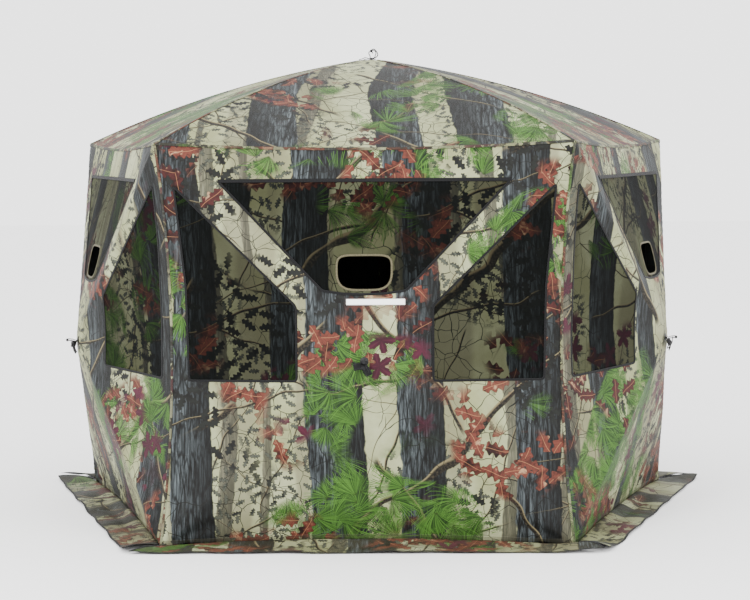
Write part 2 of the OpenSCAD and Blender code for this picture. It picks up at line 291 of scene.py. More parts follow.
TOP_WINDOW = [(-0.555, 1.406), (-0.158, 0.996), (-0.080, 0.985), (0, 0.982), (0.080, 0.985),
              (0.158, 0.996), (0.555, 1.406)]
SIDE_WINDOW = [(0.730, 1.390), (0.258, 0.937), (0.258, 0.652), (0.685, 0.639), (0.692, 1.000)]
STEP = 0.013


def window_outlines():
    top = anticlockwise(spaced(corners_rounded(TOP_WINDOW, 0.012), STEP))
    right = anticlockwise(spaced(corners_rounded(SIDE_WINDOW, 0.016), STEP))
    left = anticlockwise(right * (-1, 1))
    return {"top": top, "right": right, "left": left}


def port_outline(grow=0.0):
    """The view port: a rounded rectangle, flatter on top than underneath."""
    low, high, half = 1.000, 1.126, 0.102
    mid = low + 0.6 * (high - low)
    points = []
    for a in np.arange(0, math.tau, math.tau / 72):
        edge, across, up = (high, 0.35, 0.5) if a < math.pi else (low, 0.5, 0.7)
        x = half * math.copysign(abs(math.cos(a)) ** across, math.cos(a))
        points.append((x, mid + (edge - mid) * abs(math.sin(a)) ** up))
    return grown(spaced(np.array(points), 0.008), grow)


# Door: rays from the hub to two points of the right-hand seam, and two shares of the way out
DOOR_LOW, DOOR_IN, DOOR_OUT, STRIP_IN, ZIP_GAP = 0.06, 0.14, 0.965, 0.970, 0.0015


def ray(t, share, side=1):
    """Point in the wall plane: the share of the way from the disc to the seam's point at t."""
    end = seam_points(side, np.atleast_1d(float(t)))[0][[0, 2]]
    run = end - (0, HUB_H)
    start = np.array((0, HUB_H)) + run / np.linalg.norm(run) * DISC_R
    return start + (end - start) * share


def door_outline(low, share_in, share_out):
    """Outline between two rays and two shares of the way out."""
    t = np.linspace(low, 1 - low, 40)
    outer = [ray(k, share_out) for k in t]
    inner = [ray(k, share_in) for k in t[::-1]]
    return anticlockwise(spaced(np.array(outer + inner), STEP))


# ---------------------------------------------------------------- mesh building

def new_mesh(name, points, faces, smooth_faces=True):
    mesh = bpy.data.meshes.new(name)
    mesh.from_pydata([tuple(map(float, p)) for p in points], [], [list(map(int, f)) for f in faces])
    mesh.update()
    if smooth_faces:
        mesh.polygons.foreach_set("use_smooth", [True] * len(mesh.polygons))
    return linked(name, mesh)


def put_attribute(obj, name, values):
    """A vector for every vertex, which materials read by name."""
    values = np.asarray(values, float)
    if values.shape[1] == 2:
        values = np.concatenate([values, np.zeros((len(values), 1))], 1)
    attribute = obj.data.attributes.new(name, "FLOAT_VECTOR", "POINT")
    attribute.data.foreach_set("vector", values.astype(np.float32).ravel())


def inside(outline, points):
    """Which points lie inside a closed outline."""
    x, z = points[:, 0], points[:, 1]
    hit = np.zeros(len(points), bool)
    for (ax, az), (bx, bz) in zip(outline, np.roll(outline, -1, 0)):
        cross = (az > z) != (bz > z)
        with np.errstate(divide="ignore", invalid="ignore"):
            hit ^= cross & (x < (bx - ax) * (z - az) / (bz - az) + ax)
    return hit


def far_from(outline, points, least):
    """Which points are at least this far from every point of an outline."""
    keep = np.ones(len(points), bool)
    for p in outline:
        keep &= np.hypot(points[:, 0] - p[0], points[:, 1] - p[1]) > least
    return keep


def flat_cloth(outline, holes=(), step=STEP):
    """Triangles that fill an outline around its holes: points in the plane, and faces."""
    low, high = outline.min(0), outline.max(0)
    rows = np.arange(low[1], high[1], step * 0.866)
    grid = np.array([(x + (step / 2 if r % 2 else 0), z) for r, z in enumerate(rows)
                     for x in np.arange(low[0], high[0], step)])
    grid = grid[inside(outline, grid)]
    for ring in [outline, *holes]:
        grid = grid[far_from(ring, grid, step * 0.6)]
    for hole in holes:
        grid = grid[~inside(hole, grid)]
    points, edges = [Vector(p) for p in grid], []
    for ring in [outline, *holes]:
        first = len(points)
        points += [Vector(p) for p in ring]
        edges += [(first + k, first + (k + 1) % len(ring)) for k in range(len(ring))]
    verts, _, faces, *_ = geometry.delaunay_2d_cdt(points, edges, [], 0, 1e-6)
    verts = np.array([tuple(v) for v in verts])
    middle = np.array([verts[list(f)].mean(0) for f in faces])
    keep = inside(outline, middle)
    for hole in holes:
        keep &= ~inside(hole, middle)
    kept = [f for f, k in zip(faces, keep) if k]
    used = sorted({v for f in kept for v in f})
    place = {v: k for k, v in enumerate(used)}
    return verts[used], [[place[v] for v in f][::-1] for f in kept]


def facing(obj, outwards):
    """Turns the faces over if most look against a direction."""
    total = sum((p.normal * p.area for p in obj.data.polygons), Vector())
    if total.dot(Vector(outwards)) < 0:
        obj.data.flip_normals()
    return obj


def tube_faces(rows, around, closed=False):
    """Faces between rows of points, each a closed ring, with ends unless the rows close too."""
    faces = [(r * around + j, r * around + (j + 1) % around,
              (r + 1) % rows * around + (j + 1) % around, (r + 1) % rows * around + j)
             for r in range(rows if closed else rows - 1) for j in range(around)]
    if not closed:
        faces += [tuple(range(around))[::-1], tuple((rows - 1) * around + j for j in range(around))]
    return faces


def grid_faces(rows, columns):
    """Faces of a grid of rows by columns, whose points run along the columns first."""
    return [(a, a + 1, a + columns + 2, a + columns + 1) for r in range(rows)
            for a in range(r * (columns + 1), r * (columns + 1) + columns)]


def thick(obj, thickness, lining=None):
    """Gives cloth its thickness, inwards, with its own material inside."""
    shell = obj.modifiers.new("thickness", "SOLIDIFY")
    shell.thickness = thickness
    shell.offset = -1
    shell.use_even_offset = False
    if lining:
        obj.data.materials.append(lining)
        shell.material_offset = 1
    return obj


def follow_hub(obj, weights):
    """Wall cloth: its placement is baked into its mesh. The weights are not used."""
    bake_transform(obj)


def ribbon(path, normals, width, thickness, closed=False, crown=0.35):
    """A flat band along a path: points, faces, and (along, across) for stitching."""
    path, normals = np.asarray(path, float), np.asarray(normals, float)
    if closed:
        ahead = np.roll(path, -1, 0) - np.roll(path, 1, 0)
    else:
        ahead = np.gradient(path, axis=0)
    across = unit(np.cross(unit(ahead), normals))
    run = np.concatenate([[0], np.cumsum(np.linalg.norm(np.diff(path, axis=0), axis=1))])
    profile = [(-1, 0), (-1, 1 - crown), (-0.8, 1), (0, 1), (0.8, 1), (1, 1 - crown), (1, 0)]
    points, at = [], []
    for k in range(len(path)):
        for u, v in profile:
            points.append(path[k] + across[k] * u * width / 2 + normals[k] * v * thickness)
            at.append((run[k], u * width / 2))
    return np.array(points), tube_faces(len(path), len(profile), closed), np.array(at)


def joined(parts):
    """Several (points, faces) or (points, faces, at) pieces as one."""
    starts = np.cumsum([0] + [len(part[0]) for part in parts])
    faces = [tuple(v + start for v in face) for part, start in zip(parts, starts)
             for face in part[1]]
    at = [np.concatenate([part[2] for part in parts])] if len(parts[0]) > 2 else []
    return (np.concatenate([part[0] for part in parts]), faces, *at)


def outward_mesh(obj):
    """Makes the faces of a closed piece all look outwards."""
    mesh = bmesh.new()
    mesh.from_mesh(obj.data)
    bmesh.ops.recalc_face_normals(mesh, faces=mesh.faces)
    mesh.to_mesh(obj.data)
    mesh.free()
    return obj


def wall_normals(x, z, seed):
    """Outward unit normals of the wall's cloth."""
    e = 0.004
    x, z = np.asarray(x, float), np.asarray(z, float)
    fx = (wall_depth(x + e, z, seed) - wall_depth(x - e, z, seed)) / (2 * e)
    fz = (wall_depth(x, z + e, seed) - wall_depth(x, z - e, seed)) / (2 * e)
    return unit(np.stack([fx, -np.ones_like(fx), fz], 1))


def wall_ribbon(line, seed, width, thickness, closed=False, out=0.0):
    """A band sewn along a line in the wall plane, on the outside of the cloth."""
    line = np.asarray(line, float)
    path = wall_points(line[:, 0], line[:, 1], seed, out)
    return ribbon(path, wall_normals(line[:, 0], line[:, 1], seed), width, thickness, closed)


# ---------------------------------------------------------------- shader formulas

class Signal:
    """A node's output, so that shader formulas can be written as plain arithmetic."""

    def __init__(self, graph, socket):
        self.graph, self.socket = graph, socket

    def __add__(self, other): return self.graph.math("ADD", self, other)
    def __radd__(self, other): return self.graph.math("ADD", other, self)
    def __sub__(self, other): return self.graph.math("SUBTRACT", self, other)
    def __rsub__(self, other): return self.graph.math("SUBTRACT", other, self)
    def __mul__(self, other): return self.graph.math("MULTIPLY", self, other)
    def __rmul__(self, other): return self.graph.math("MULTIPLY", other, self)
    def __truediv__(self, other): return self.graph.math("DIVIDE", self, other)
    def __rtruediv__(self, other): return self.graph.math("DIVIDE", other, self)
    def __pow__(self, other): return self.graph.math("POWER", self, other)


class Graph:
    """Adds nodes to one node tree."""

    def __init__(self, tree):
        self.tree = tree

    def plug(self, socket, value):
        if isinstance(value, Signal):
            self.tree.links.new(value.socket, socket)
        elif isinstance(value, (tuple, list)):
            size = len(socket.default_value)
            socket.default_value = (tuple(value) + (1.0,))[:size]
        else:
            socket.default_value = value

    def node(self, kind, inputs=(), **settings):
        """A node, with its inputs plugged by place, or by a dictionary of names or places."""
        made = self.tree.nodes.new(kind)
        for name, value in settings.items():
            setattr(made, name, value)
        for place, value in inputs.items() if isinstance(inputs, dict) else enumerate(inputs):
            self.plug(made.inputs[place], value)
        return made

    def signal(self, kind, inputs=(), output=0, **settings):
        """One output of a new node."""
        return Signal(self, self.node(kind, inputs, **settings).outputs[output])

    def math(self, operation, a, b=0.0, c=0.0):
        return self.signal("ShaderNodeMath", (a, b, c), operation=operation)

    def size(self, a):
        return self.math("ABSOLUTE", a)

    def step(self, low, high, value):
        """0 below low, 1 above high, smooth between."""
        return self.signal("ShaderNodeMapRange",
                           {"Value": value, "From Min": low, "From Max": high},
                           interpolation_type="SMOOTHSTEP")

    def mix(self, factor, a, b):
        return self.signal("ShaderNodeMix", {0: factor, 6: a, 7: b}, 2, data_type="RGBA")

    def vector(self, x, y, z=0.0):
        return self.signal("ShaderNodeCombineXYZ", (x, y, z))

    def split(self, vector):
        return [Signal(self, s) for s in self.node("ShaderNodeSeparateXYZ", (vector,)).outputs]

    def shift(self, vector, by, operation="ADD"):
        return self.signal("ShaderNodeVectorMath", (vector, by), operation=operation)

    def noise(self, at, scale, detail=2.0, roughness=0.5, distortion=0.0, color=False):
        return self.signal("ShaderNodeTexNoise",
                           {"Vector": at, "Scale": scale, "Detail": detail,
                            "Roughness": roughness, "Distortion": distortion},
                           "Color" if color else "Fac", noise_dimensions="3D")

    def cells(self, at, scale, feature="F1", randomness=0.9, flat=True):
        """(distance, random colour, position) of the Voronoi cell at a place, or its edge."""
        made = self.node("ShaderNodeTexVoronoi", feature=feature,
                         voronoi_dimensions="2D" if flat else "1D")
        for name, value in (("Vector" if flat else "W", at), ("Scale", scale),
                            ("Randomness", randomness)):
            self.plug(made.inputs[name], value)
        if feature == "DISTANCE_TO_EDGE":
            return Signal(self, made.outputs["Distance"])
        return [Signal(self, made.outputs[name])
                for name in ("Distance", "Color", "Position" if flat else "W")]

    def named(self, name):
        """A mesh attribute: print_at, the place on the roll, or band_at, along and across."""
        return self.signal("ShaderNodeAttribute", (), "Vector", attribute_name=name)


def srgb(r, g, b):
    """A display colour, 0 to 255, as the linear colour that shaders take."""
    return tuple((c / 255 / 12.92) if c <= 10 else ((c / 255 + 0.055) / 1.055) ** 2.4
                 for c in (r, g, b))


# ---------------------------------------------------------------- the woodland print

def stamp_sites(g, at, scale, seed, randomness=0.85):
    """Scattered sites: place x, y from each site's middle, turned its own way, and 2 randoms."""
    moved = g.shift(at, (seed * 3.17, seed * 1.73, 0))
    _, color, place = g.cells(moved, scale, randomness=randomness)
    lx, ly, _ = g.split(g.shift(moved, place, "SUBTRACT"))
    one, two, three = g.split(color)
    angle = one * math.tau
    cos, sin = g.math("COSINE", angle), g.math("SINE", angle)
    return lx * cos + ly * sin, ly * cos - lx * sin, two, three


def cluster(g, at, scale, seed, level, soft=0.05):
    """1 in clumps of the cloth and 0 between them."""
    moved = g.shift(at, (seed * 7.1, seed * 4.3, seed))
    return g.step(level, level + soft, g.noise(moved, scale, 1.0))


def oak_leaves(g, under, at, scale, seed, length, level, dark, light, clump=None, ribs=1.0):
    """Lobed leaves with a pale midrib, in clumps, drawn over the colours under them."""
    x, y, two, three = stamp_sites(g, at, scale, seed)
    y = y + g.math("SINE", x * (2.2 / length)) * (length * 0.10)
    along = x / length
    taper = g.math("MAXIMUM", 1.0 - along * along, 0.0) ** 0.55
    lobes = g.math("COSINE", along * 12.5 + two * 3.0 + g.math("SIGN", y) * 0.9) * 0.22 + 0.70
    width = taper * lobes * (length * 0.60)
    side = g.size(y)
    shape = g.step(0.0002, 0.0022, width - side)
    shape = shape * g.step(0.10, 0.12, three) * cluster(g, at, 1.9, clump or seed, level)
    vein = g.math("SINE", (x - side * 0.8) * (26.0 / length))
    folds = g.noise(g.vector(x, y, two * 9.0), 1.1 / length, 3.0, 0.6, 0.8)
    color = g.mix(g.step(0.34, 0.62, folds + two * 0.10), dark, light)
    color = g.mix(g.step(0.60, 0.70, folds) * 0.75 * ribs, color, srgb(226, 196, 158))
    color = g.mix(g.step(0.80, 0.98, vein) * 0.30, color, dark)
    color = g.mix(g.step(0.0014, 0.0006, side) * 0.7 * ribs, color, srgb(206, 160, 120))
    rim = g.step(0.0044, 0.0012, width - side)
    color = g.mix(rim * 0.7, color, srgb(40, 20, 18))
    return g.mix(shape, under, color)


def maple_leaves(g, under, at, scale, seed, size, level, dark, light):
    """Five-pointed leaves in clumps."""
    x, y, two, three = stamp_sites(g, at, scale, seed)
    angle = g.math("ARCTAN2", y, x)
    reach = g.math("SQRT", x * x + y * y)
    points = g.size(g.math("COSINE", angle * 2.5))
    teeth = g.math("SINE", angle * 27.0) * 0.05
    edge = ((points ** 1.3) * 0.62 + teeth + 0.36) * size
    shape = g.step(-0.001, 0.001, edge - reach)
    shape = shape * g.step(0.30, 0.32, three) * cluster(g, at, 2.1, seed, level)
    vein = g.step(0.93, 0.99, points)
    color = g.mix(g.noise(at, 30.0, 2.0) * 0.7 + two * 0.4, dark, light)
    color = g.mix(vein * 0.4, color, light)
    return g.mix(shape, under, color)


NEEDLES = 104.0          # round the whole of a burst
NEEDLE_W = 0.0016


def pine_bursts(g, under, at, scale, seed, size, level, clump):
    """Sprays of green needles that radiate from a twig's tip."""
    x, y, two, _ = stamp_sites(g, at, scale, seed, 0.7)
    x = x + size * 0.50
    reach = g.math("SQRT", x * x + y * y)
    around = g.math("ARCTAN2", y, x)
    angle = around / math.tau + reach * (two - 0.5) * 1.4
    needle = g.math("FLOOR", angle * NEEDLES)
    within = g.size(g.math("FRACT", angle * NEEDLES) - 0.5)
    spread = g.math("FRACT", g.math("SINE", needle * 12.99 + two * 40.0) * 437.5)
    long = (spread * 0.45 + 0.55) * size
    slim = g.math("MINIMUM", NEEDLE_W / (reach + 0.004) * (NEEDLES / 6.3), 0.46)
    shape = g.step(0.0, 0.08, slim - within) * g.step(0.0, 0.006, long - reach)
    shape = shape * g.step(0.45, 0.75, g.math("COSINE", around) + spread * 0.15)
    shape = shape * cluster(g, at, 1.35, clump, level, 0.02)
    color = g.mix(spread, srgb(24, 58, 18), srgb(114, 162, 72))
    color = g.mix(g.step(0.016, 0.0, reach) * 0.7, color, srgb(60, 62, 34))
    return g.mix(shape, under, color)


def trunks(g, under, at, seed, scale, half, vary, skip, dark, light, strength=1.0):
    """Upright tree trunks with streaked bark, rounded by light from the left."""
    x, z, _ = g.split(at)
    sway = g.noise(g.vector(x * 0.4, z * 0.9, seed), 1.0, 1.0)
    lean = x + sway * 0.22 + z * 0.03 + seed * 2.9
    _, color, place = g.cells(lean, scale, randomness=0.75, flat=False)
    one, two, _ = g.split(color)
    wide = one * vary + half
    ragged = (g.noise(g.vector(x, z * 0.5, seed), 34.0, 3.0) - 0.5) * 0.022
    offset = lean - place
    mask = g.step(0.003, -0.003, g.size(offset) - wide + ragged)
    mask = mask * g.step(skip, skip + 0.01, two) * strength
    streaks = g.noise(g.vector(x, z * 0.09, seed), 74.0, 6.0, 0.72, 0.6)
    cracks = g.cells(g.vector(x + streaks * 0.012, z * 0.11), 76.0, "DISTANCE_TO_EDGE")
    lit = g.step(1.0, -0.9, offset / wide)
    tone = g.step(0.36, 0.74, streaks) * (lit * 0.75 + 0.25)
    bark = g.mix(tone, dark, light)
    bark = g.mix(g.step(0.14, 0.02, cracks) * 0.75, bark, dark)
    return g.mix(mask, under, bark)


def branches(g, under, at, seed, slope, scale, half, level):
    """Long thin limbs on a slant, dark with a pale upper edge, broken into lengths."""
    x, z, _ = g.split(at)
    bend = g.noise(g.vector(x, z, seed), 2.6, 2.0) * 0.20
    line = z * math.cos(slope) - x * math.sin(slope) + bend + seed * 1.37
    along = x * math.cos(slope) + z * math.sin(slope)
    _, color, place = g.cells(line, scale, randomness=0.9, flat=False)
    one, two, _ = g.split(color)
    wide = one * half + half * 0.5
    wide = wide * (g.noise(g.vector(along, seed, two * 9.0), 5.0, 1.0) * 0.9 + 0.4)
    offset = line - place
    shown = g.step(level, level + 0.05, g.noise(g.vector(along, two * 9.0, seed), 2.2, 1.0))
    mask = g.step(0.0015, -0.0015, g.size(offset) - wide) * shown
    bark = g.noise(g.vector(x, z, seed), 120.0, 3.0)
    color = g.mix(g.step(0.35, 0.75, bark), srgb(30, 28, 27), srgb(96, 88, 74))
    color = g.mix(g.step(0.15, 0.75, offset / wide) * 0.8, color, srgb(178, 166, 130))
    return g.mix(mask, under, color)


def twigs(g, under, at, seed, scale, thin, level):
    """A tangle of fine dark twigs."""
    moved = g.shift(at, (seed * 2.3, seed * 5.1, 0))
    bend = g.noise(moved, 7.0, 2.0, color=True)
    bent = g.shift(moved, g.shift(bend, (0.09, 0.09, 0), "MULTIPLY"))
    gap = g.cells(bent, scale, "DISTANCE_TO_EDGE", 1.0)
    shown = g.step(level, level + 0.04, g.noise(g.shift(at, (seed, 9.1, seed)), 2.9, 2.0))
    mask = g.step(thin * scale, thin * scale * 0.45, gap) * shown
    return g.mix(mask, under, srgb(36, 36, 34))


def woodland_print():
    """The print on all the cloth: a node group from a place on the cloth to its colour."""
    tree = bpy.data.node_groups.new("woodland_print", "ShaderNodeTree")
    tree.interface.new_socket("at", in_out="INPUT", socket_type="NodeSocketVector")
    tree.interface.new_socket("color", in_out="OUTPUT", socket_type="NodeSocketColor")
    g = Graph(tree)
    source, sink = g.node("NodeGroupInput"), g.node("NodeGroupOutput")
    at = Signal(g, source.outputs[0])
    x, z, _ = g.split(at)
    sky = g.step(0.35, 0.68, g.noise(at, 3.1, 4.0))
    color = g.mix(sky, srgb(190, 194, 152), srgb(222, 227, 191))
    color = g.mix(g.noise(at, 40.0, 4.0) * 0.35, color, srgb(150, 146, 104))
    haze = g.noise(g.vector(x * 2.6, z * 0.16, 0.0), 1.9, 2.0)
    color = g.mix(g.step(0.50, 0.58, haze) * 0.55, color, srgb(150, 146, 122))
    grey, ash, deep = srgb(52, 56, 54), srgb(112, 116, 104), srgb(26, 28, 30)
    dusk, rust, wine = srgb(50, 22, 22), srgb(142, 84, 70), srgb(104, 52, 52)
    # from the far wood to the leaves in front
    for draw, *values in (
            (trunks, 5.0, 3.6, 0.012, 0.022, 0.25, srgb(84, 82, 74), srgb(168, 164, 144), 0.85),
            (twigs, 3.0, 15.0, 0.0013, 0.46),
            (branches, 3.0, 1.15, 4.6, 0.0040, 0.44), (branches, 11.0, -0.45, 4.2, 0.0034, 0.46),
            (oak_leaves, 24.0, 2.0, 0.022, 0.45, grey, ash, None, 0.0),
            (trunks, 1.0, 2.3, 0.052, 0.060, 0.14, srgb(16, 19, 24), srgb(146, 156, 160)),
            (branches, 2.0, 0.72, 1.9, 0.013, 0.45), (branches, 7.0, -0.95, 1.6, 0.011, 0.47),
            (branches, 13.0, 0.25, 3.1, 0.0050, 0.47),
            (twigs, 8.0, 10.0, 0.0016, 0.45),
            (oak_leaves, 15.0, 9.0, 0.034, 0.54, deep, grey, None, 0.0),
            (pine_bursts, 4.6, 4.0, 0.170, 0.62, 4.0), (pine_bursts, 6.0, 6.0, 0.130, 0.62, 4.0),
            (pine_bursts, 5.2, 10.0, 0.150, 0.63, 4.0), (pine_bursts, 5.0, 8.0, 0.150, 0.62, 8.0),
            (pine_bursts, 6.2, 12.0, 0.130, 0.62, 8.0), (pine_bursts, 7.0, 14.0, 0.115, 0.62, 4.0),
            (oak_leaves, 8.8, 1.0, 0.062, 0.545, dusk, rust, 1.0),
            (maple_leaves, 9.0, 3.0, 0.056, 0.60, srgb(52, 18, 34), srgb(122, 50, 80)),
            (oak_leaves, 10.0, 5.0, 0.056, 0.550, dusk, rust, 1.0),
            (oak_leaves, 9.4, 15.0, 0.056, 0.580, dusk, wine)):
        color = draw(g, color, at, *values)
    color = g.signal("ShaderNodeGamma", {"Color": color, "Gamma": 1.30})
    color = g.signal("ShaderNodeHueSaturation", {"Saturation": 0.98, "Value": 0.54, "Color": color})
    g.plug(sink.inputs[0], color)
    return tree


PRINT = woodland_print()


def printed(g, at):
    """The print's colour at a place on the cloth."""
    return g.signal("ShaderNodeGroup", (at,), node_tree=PRINT)


# ---------------------------------------------------------------- materials

def material(name, roughness, metallic=0.0, **constants):
    """A node material's graph. Constants go on the shader's own sockets."""
    made = bpy.data.materials.new(name)
    made.use_nodes = True
    g = Graph(made.node_tree)
    g.material, g.inputs = made, made.node_tree.nodes["Principled BSDF"].inputs
    for key, value in {"Roughness": roughness, "Metallic": metallic, **constants}.items():
        g.inputs[key.replace("_", " ")].default_value = value
    return g


def painted(g, color, height, strength, distance):
    """Plugs a material's colour, and a height as its bump. Returns the material."""
    g.plug(g.inputs["Base Color"], color)
    g.plug(g.inputs["Normal"], g.signal(
        "ShaderNodeBump", {"Strength": strength, "Distance": distance, "Height": height}))
    return g.material


WEAVE, MESH_PITCH, STITCH, RIB = 0.0011, 0.0016, 0.0055, 0.0021


def plain_weave(g, at, pitch):
    """Threads over and under each other."""
    x, z, _ = g.split(at)
    warp = g.math("SINE", x * (math.tau / pitch))
    weft = g.math("SINE", z * (math.tau / pitch))
    return warp * weft * 0.5 + 0.5


def cloth_material():
    g = material("camo_cloth", 0.62, Specular_IOR_Level=0.14)
    at = g.named("print_at")
    weave = plain_weave(g, at, WEAVE)
    color = g.mix(weave * 0.10, printed(g, at), srgb(70, 67, 54))
    creases = g.noise(at, 5.0, 5.0, 0.55, 0.4)
    return painted(g, color, weave * 0.04 + creases, 0.35, 0.010)


def skirt_material():
    g = material("skirt_cloth", 0.66, Specular_IOR_Level=0.14)
    at = g.named("print_at")
    color = g.mix(g.noise(at, 6.0, 4.0) * 0.5, printed(g, at), srgb(74, 71, 54))
    creases = g.noise(at, 9.0, 5.0, 0.6, 0.5)
    return painted(g, color, creases + plain_weave(g, at, WEAVE) * 0.04, 0.5, 0.012)


def window_material():
    """See-through mesh: the print, darkened by the shade behind its holes."""
    g = material("window_mesh", 0.80, Specular_IOR_Level=0.04)
    at = g.named("print_at")
    x, z, _ = g.split(at)
    holes = g.size(g.math("SINE", x * (math.pi / MESH_PITCH)))
    holes = holes * g.size(g.math("SINE", z * (math.pi / MESH_PITCH)))
    color = g.mix(0.80, printed(g, at), srgb(5, 6, 5))
    color = g.mix(holes * 0.5, color, srgb(6, 7, 6))
    return painted(g, color, holes * 0.05 + g.noise(at, 4.0, 3.0), 0.3, 0.008)


def lining_material():
    g = material("black_lining", 0.70, Sheen_Weight=0.15, Specular_IOR_Level=0.3)
    at = g.named("print_at")
    color = g.mix(g.noise(at, 5.0, 4.0), srgb(15, 15, 16), srgb(30, 30, 31))
    creases = g.noise(at, 8.0, 4.0)
    return painted(g, color, plain_weave(g, at, WEAVE) * 0.05 + creases, 0.35, 0.010)


def stitched(g, color, at, half, thread):
    """Rows of stitches near both edges of a band, from its (along, across) place."""
    along, across, _ = g.split(at)
    row = g.step(0.0011, 0.0005, g.size(g.size(across) - half))
    dash = g.step(0.32, 0.26, g.size(g.math("FRACT", along / STITCH) - 0.5))
    sewn = row * dash
    return g.mix(sewn, color, thread), sewn


def band_material(name, base, light, thread, half):
    """Woven tape or webbing with stitching along its edges."""
    g = material(name, 0.78, Sheen_Weight=0.04, Specular_IOR_Level=0.14)
    at = g.named("band_at")
    along, across, _ = g.split(at)
    rib = g.math("SINE", (along + g.size(across) * 0.8) * (math.tau / RIB)) * 0.5 + 0.5
    color = g.mix(rib * 0.6 + g.noise(at, 60.0, 3.0) * 0.4, base, light)
    color, sewn = stitched(g, color, at, half, thread)
    return painted(g, color, rib * 0.5 + sewn, 0.5, 0.0006)


def piping_material():
    """Printed cloth folded over a seam, with stitches."""
    g = material("seam_piping", 0.6, Specular_IOR_Level=0.15)
    at, band = g.named("print_at"), g.named("band_at")
    color = g.mix(0.35, printed(g, at), srgb(54, 52, 40))
    color, sewn = stitched(g, color, band, 0.0032, srgb(40, 38, 30))
    return painted(g, color, sewn + g.noise(band, 90.0, 3.0), 0.45, 0.0010)


def label_material():
    g = material("blank_label", 0.65, Specular_IOR_Level=0.3)
    at = g.named("band_at")
    weave = plain_weave(g, at, 0.0014)
    color = g.mix(weave, srgb(238, 238, 234), srgb(252, 252, 250))
    color, sewn = stitched(g, color, at, 0.0092, srgb(205, 205, 200))
    return painted(g, color, sewn + weave * 0.3, 0.4, 0.0005)


def solid_place(g):
    """Place in the row frame, for pieces whose mesh is not laid out flat."""
    return g.signal("ShaderNodeTexCoord", (), "Object")


def moulded_material():
    g = material("moulded_nylon", 0.48, Specular_IOR_Level=0.3)
    at = solid_place(g)
    wear = g.noise(at, 45.0, 5.0)
    g.plug(g.inputs["Roughness"], wear * 0.25 + 0.36)
    color = g.mix(g.step(0.45, 0.75, wear), srgb(11, 11, 12), srgb(28, 28, 30))
    return painted(g, color, g.noise(at, 900.0, 3.0), 0.35, 0.0004)


def pole_material():
    g = material("fibreglass_pole", 0.28, Coat_Weight=0.3, Specular_IOR_Level=0.5)
    at = solid_place(g)
    fibre = g.noise(at, 260.0, 4.0, 0.6, 1.2)
    g.plug(g.inputs["Roughness"], g.noise(at, 30.0, 3.0) * 0.3 + 0.16)
    return painted(g, g.mix(fibre, srgb(16, 17, 18), srgb(52, 54, 56)), fibre, 0.15, 0.0003)


def metal_material(name, dark, light, roughness):
    g = material(name, roughness, 1.0)
    scuff = g.noise(solid_place(g), 320.0, 5.0, 0.65)
    g.plug(g.inputs["Roughness"], scuff * 0.3 + roughness - 0.12)
    return painted(g, g.mix(scuff, dark, light), scuff, 0.2, 0.0002)


def cord_material():
    g = material("braided_cord", 0.7, Sheen_Weight=0.05, Specular_IOR_Level=0.2)
    at = solid_place(g)
    x, y, z = g.split(at)
    braid = g.math("SINE", (x + y + z) * 1500.0) * g.math("SINE", (x + y - z) * 1500.0) * 0.5 + 0.5
    color = g.mix(braid, srgb(7, 7, 8), srgb(26, 26, 28))
    return painted(g, color, braid + g.noise(at, 500.0, 2.0) * 0.3, 0.6, 0.0006)


CLOTH = cloth_material()
SKIRT = skirt_material()
MESH = window_material()
LINING = lining_material()
PIPING = piping_material()
BINDING = band_material("black_binding", srgb(5, 5, 6), srgb(16, 16, 17), srgb(28, 28, 29), 0.0028)
WEBBING = band_material("black_webbing", srgb(5, 5, 6), srgb(20, 20, 21), srgb(38, 38, 40), 0.0095)
RIM = band_material("port_rim", srgb(52, 50, 38), srgb(112, 106, 80), srgb(30, 28, 22), 0.0022)
LABEL = label_material()
NYLON = moulded_material()
POLE = pole_material()
STEEL = metal_material("steel_pin", srgb(120, 122, 126), srgb(196, 198, 202), 0.34)
PLATED = metal_material("plated_eyelet", srgb(150, 148, 140), srgb(222, 220, 214), 0.28)
CORD = cord_material()

CAD_MATERIALS = {"steel_pin": STEEL, "moulded_plastic": NYLON, "fibreglass": POLE,
                 "plated_metal": PLATED, "webbing": WEBBING}
for part in frame["record"]["subparts"]:
    finish = CAD_MATERIALS.get(part["material_slot"])
    if finish:
        slots = frame["nodes"][part["node"]].data.materials
        slots.clear()
        slots.append(finish)


# ---------------------------------------------------------------- pieces of the walls

# Where each wall's cloth was cut from the roll of print, in metres
PRINT_AT = {1: (0.0, 0.0), 2: (2.35, 0.6), 3: (5.10, 0.1), 4: (7.75, 0.9), 5: (10.4, 0.35)}
CLOTH_T, MESH_T, BINDING_T = 0.0008, 0.0006, 0.0011
BINDING_W, HEM_W, TAPE_W, TAPE_T, COIL_W, COIL_T = 0.009, 0.020, 0.015, 0.0012, 0.0024, 0.0026
MESH_BEHIND, MESH_LAP = 0.0012, 0.004
CUT_SLACK, ARCH_SLACK = 1.02, 1.05          # cloth cut, over the flat area that it covers
WINDOWS = window_outlines()
PORT = port_outline()


def flat_area(cut):
    """Area of a flat cut of cloth, from its points and faces."""
    points, faces = cut
    a, b, c = (points[[f[k] for f in faces]] for k in range(3))
    return float(np.abs((b - a)[:, 0] * (c - a)[:, 1] - (b - a)[:, 1] * (c - a)[:, 0]).sum() / 2)


def dress(obj, finish, slot, **attributes):
    """Gives a piece its material and mapping. The slot is not used."""
    obj.data.materials.append(finish)
    for name, values in attributes.items():
        put_attribute(obj, name, values)
    return obj


def attach(obj, points, body):
    """Bakes a piece at points of wall i's frame in place on the cloth, or lets it ride on a body.
    """
    if body:
        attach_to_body(obj, body)
    else:
        follow_hub(obj, follow_weight(points[:, 0], points[:, -1]))


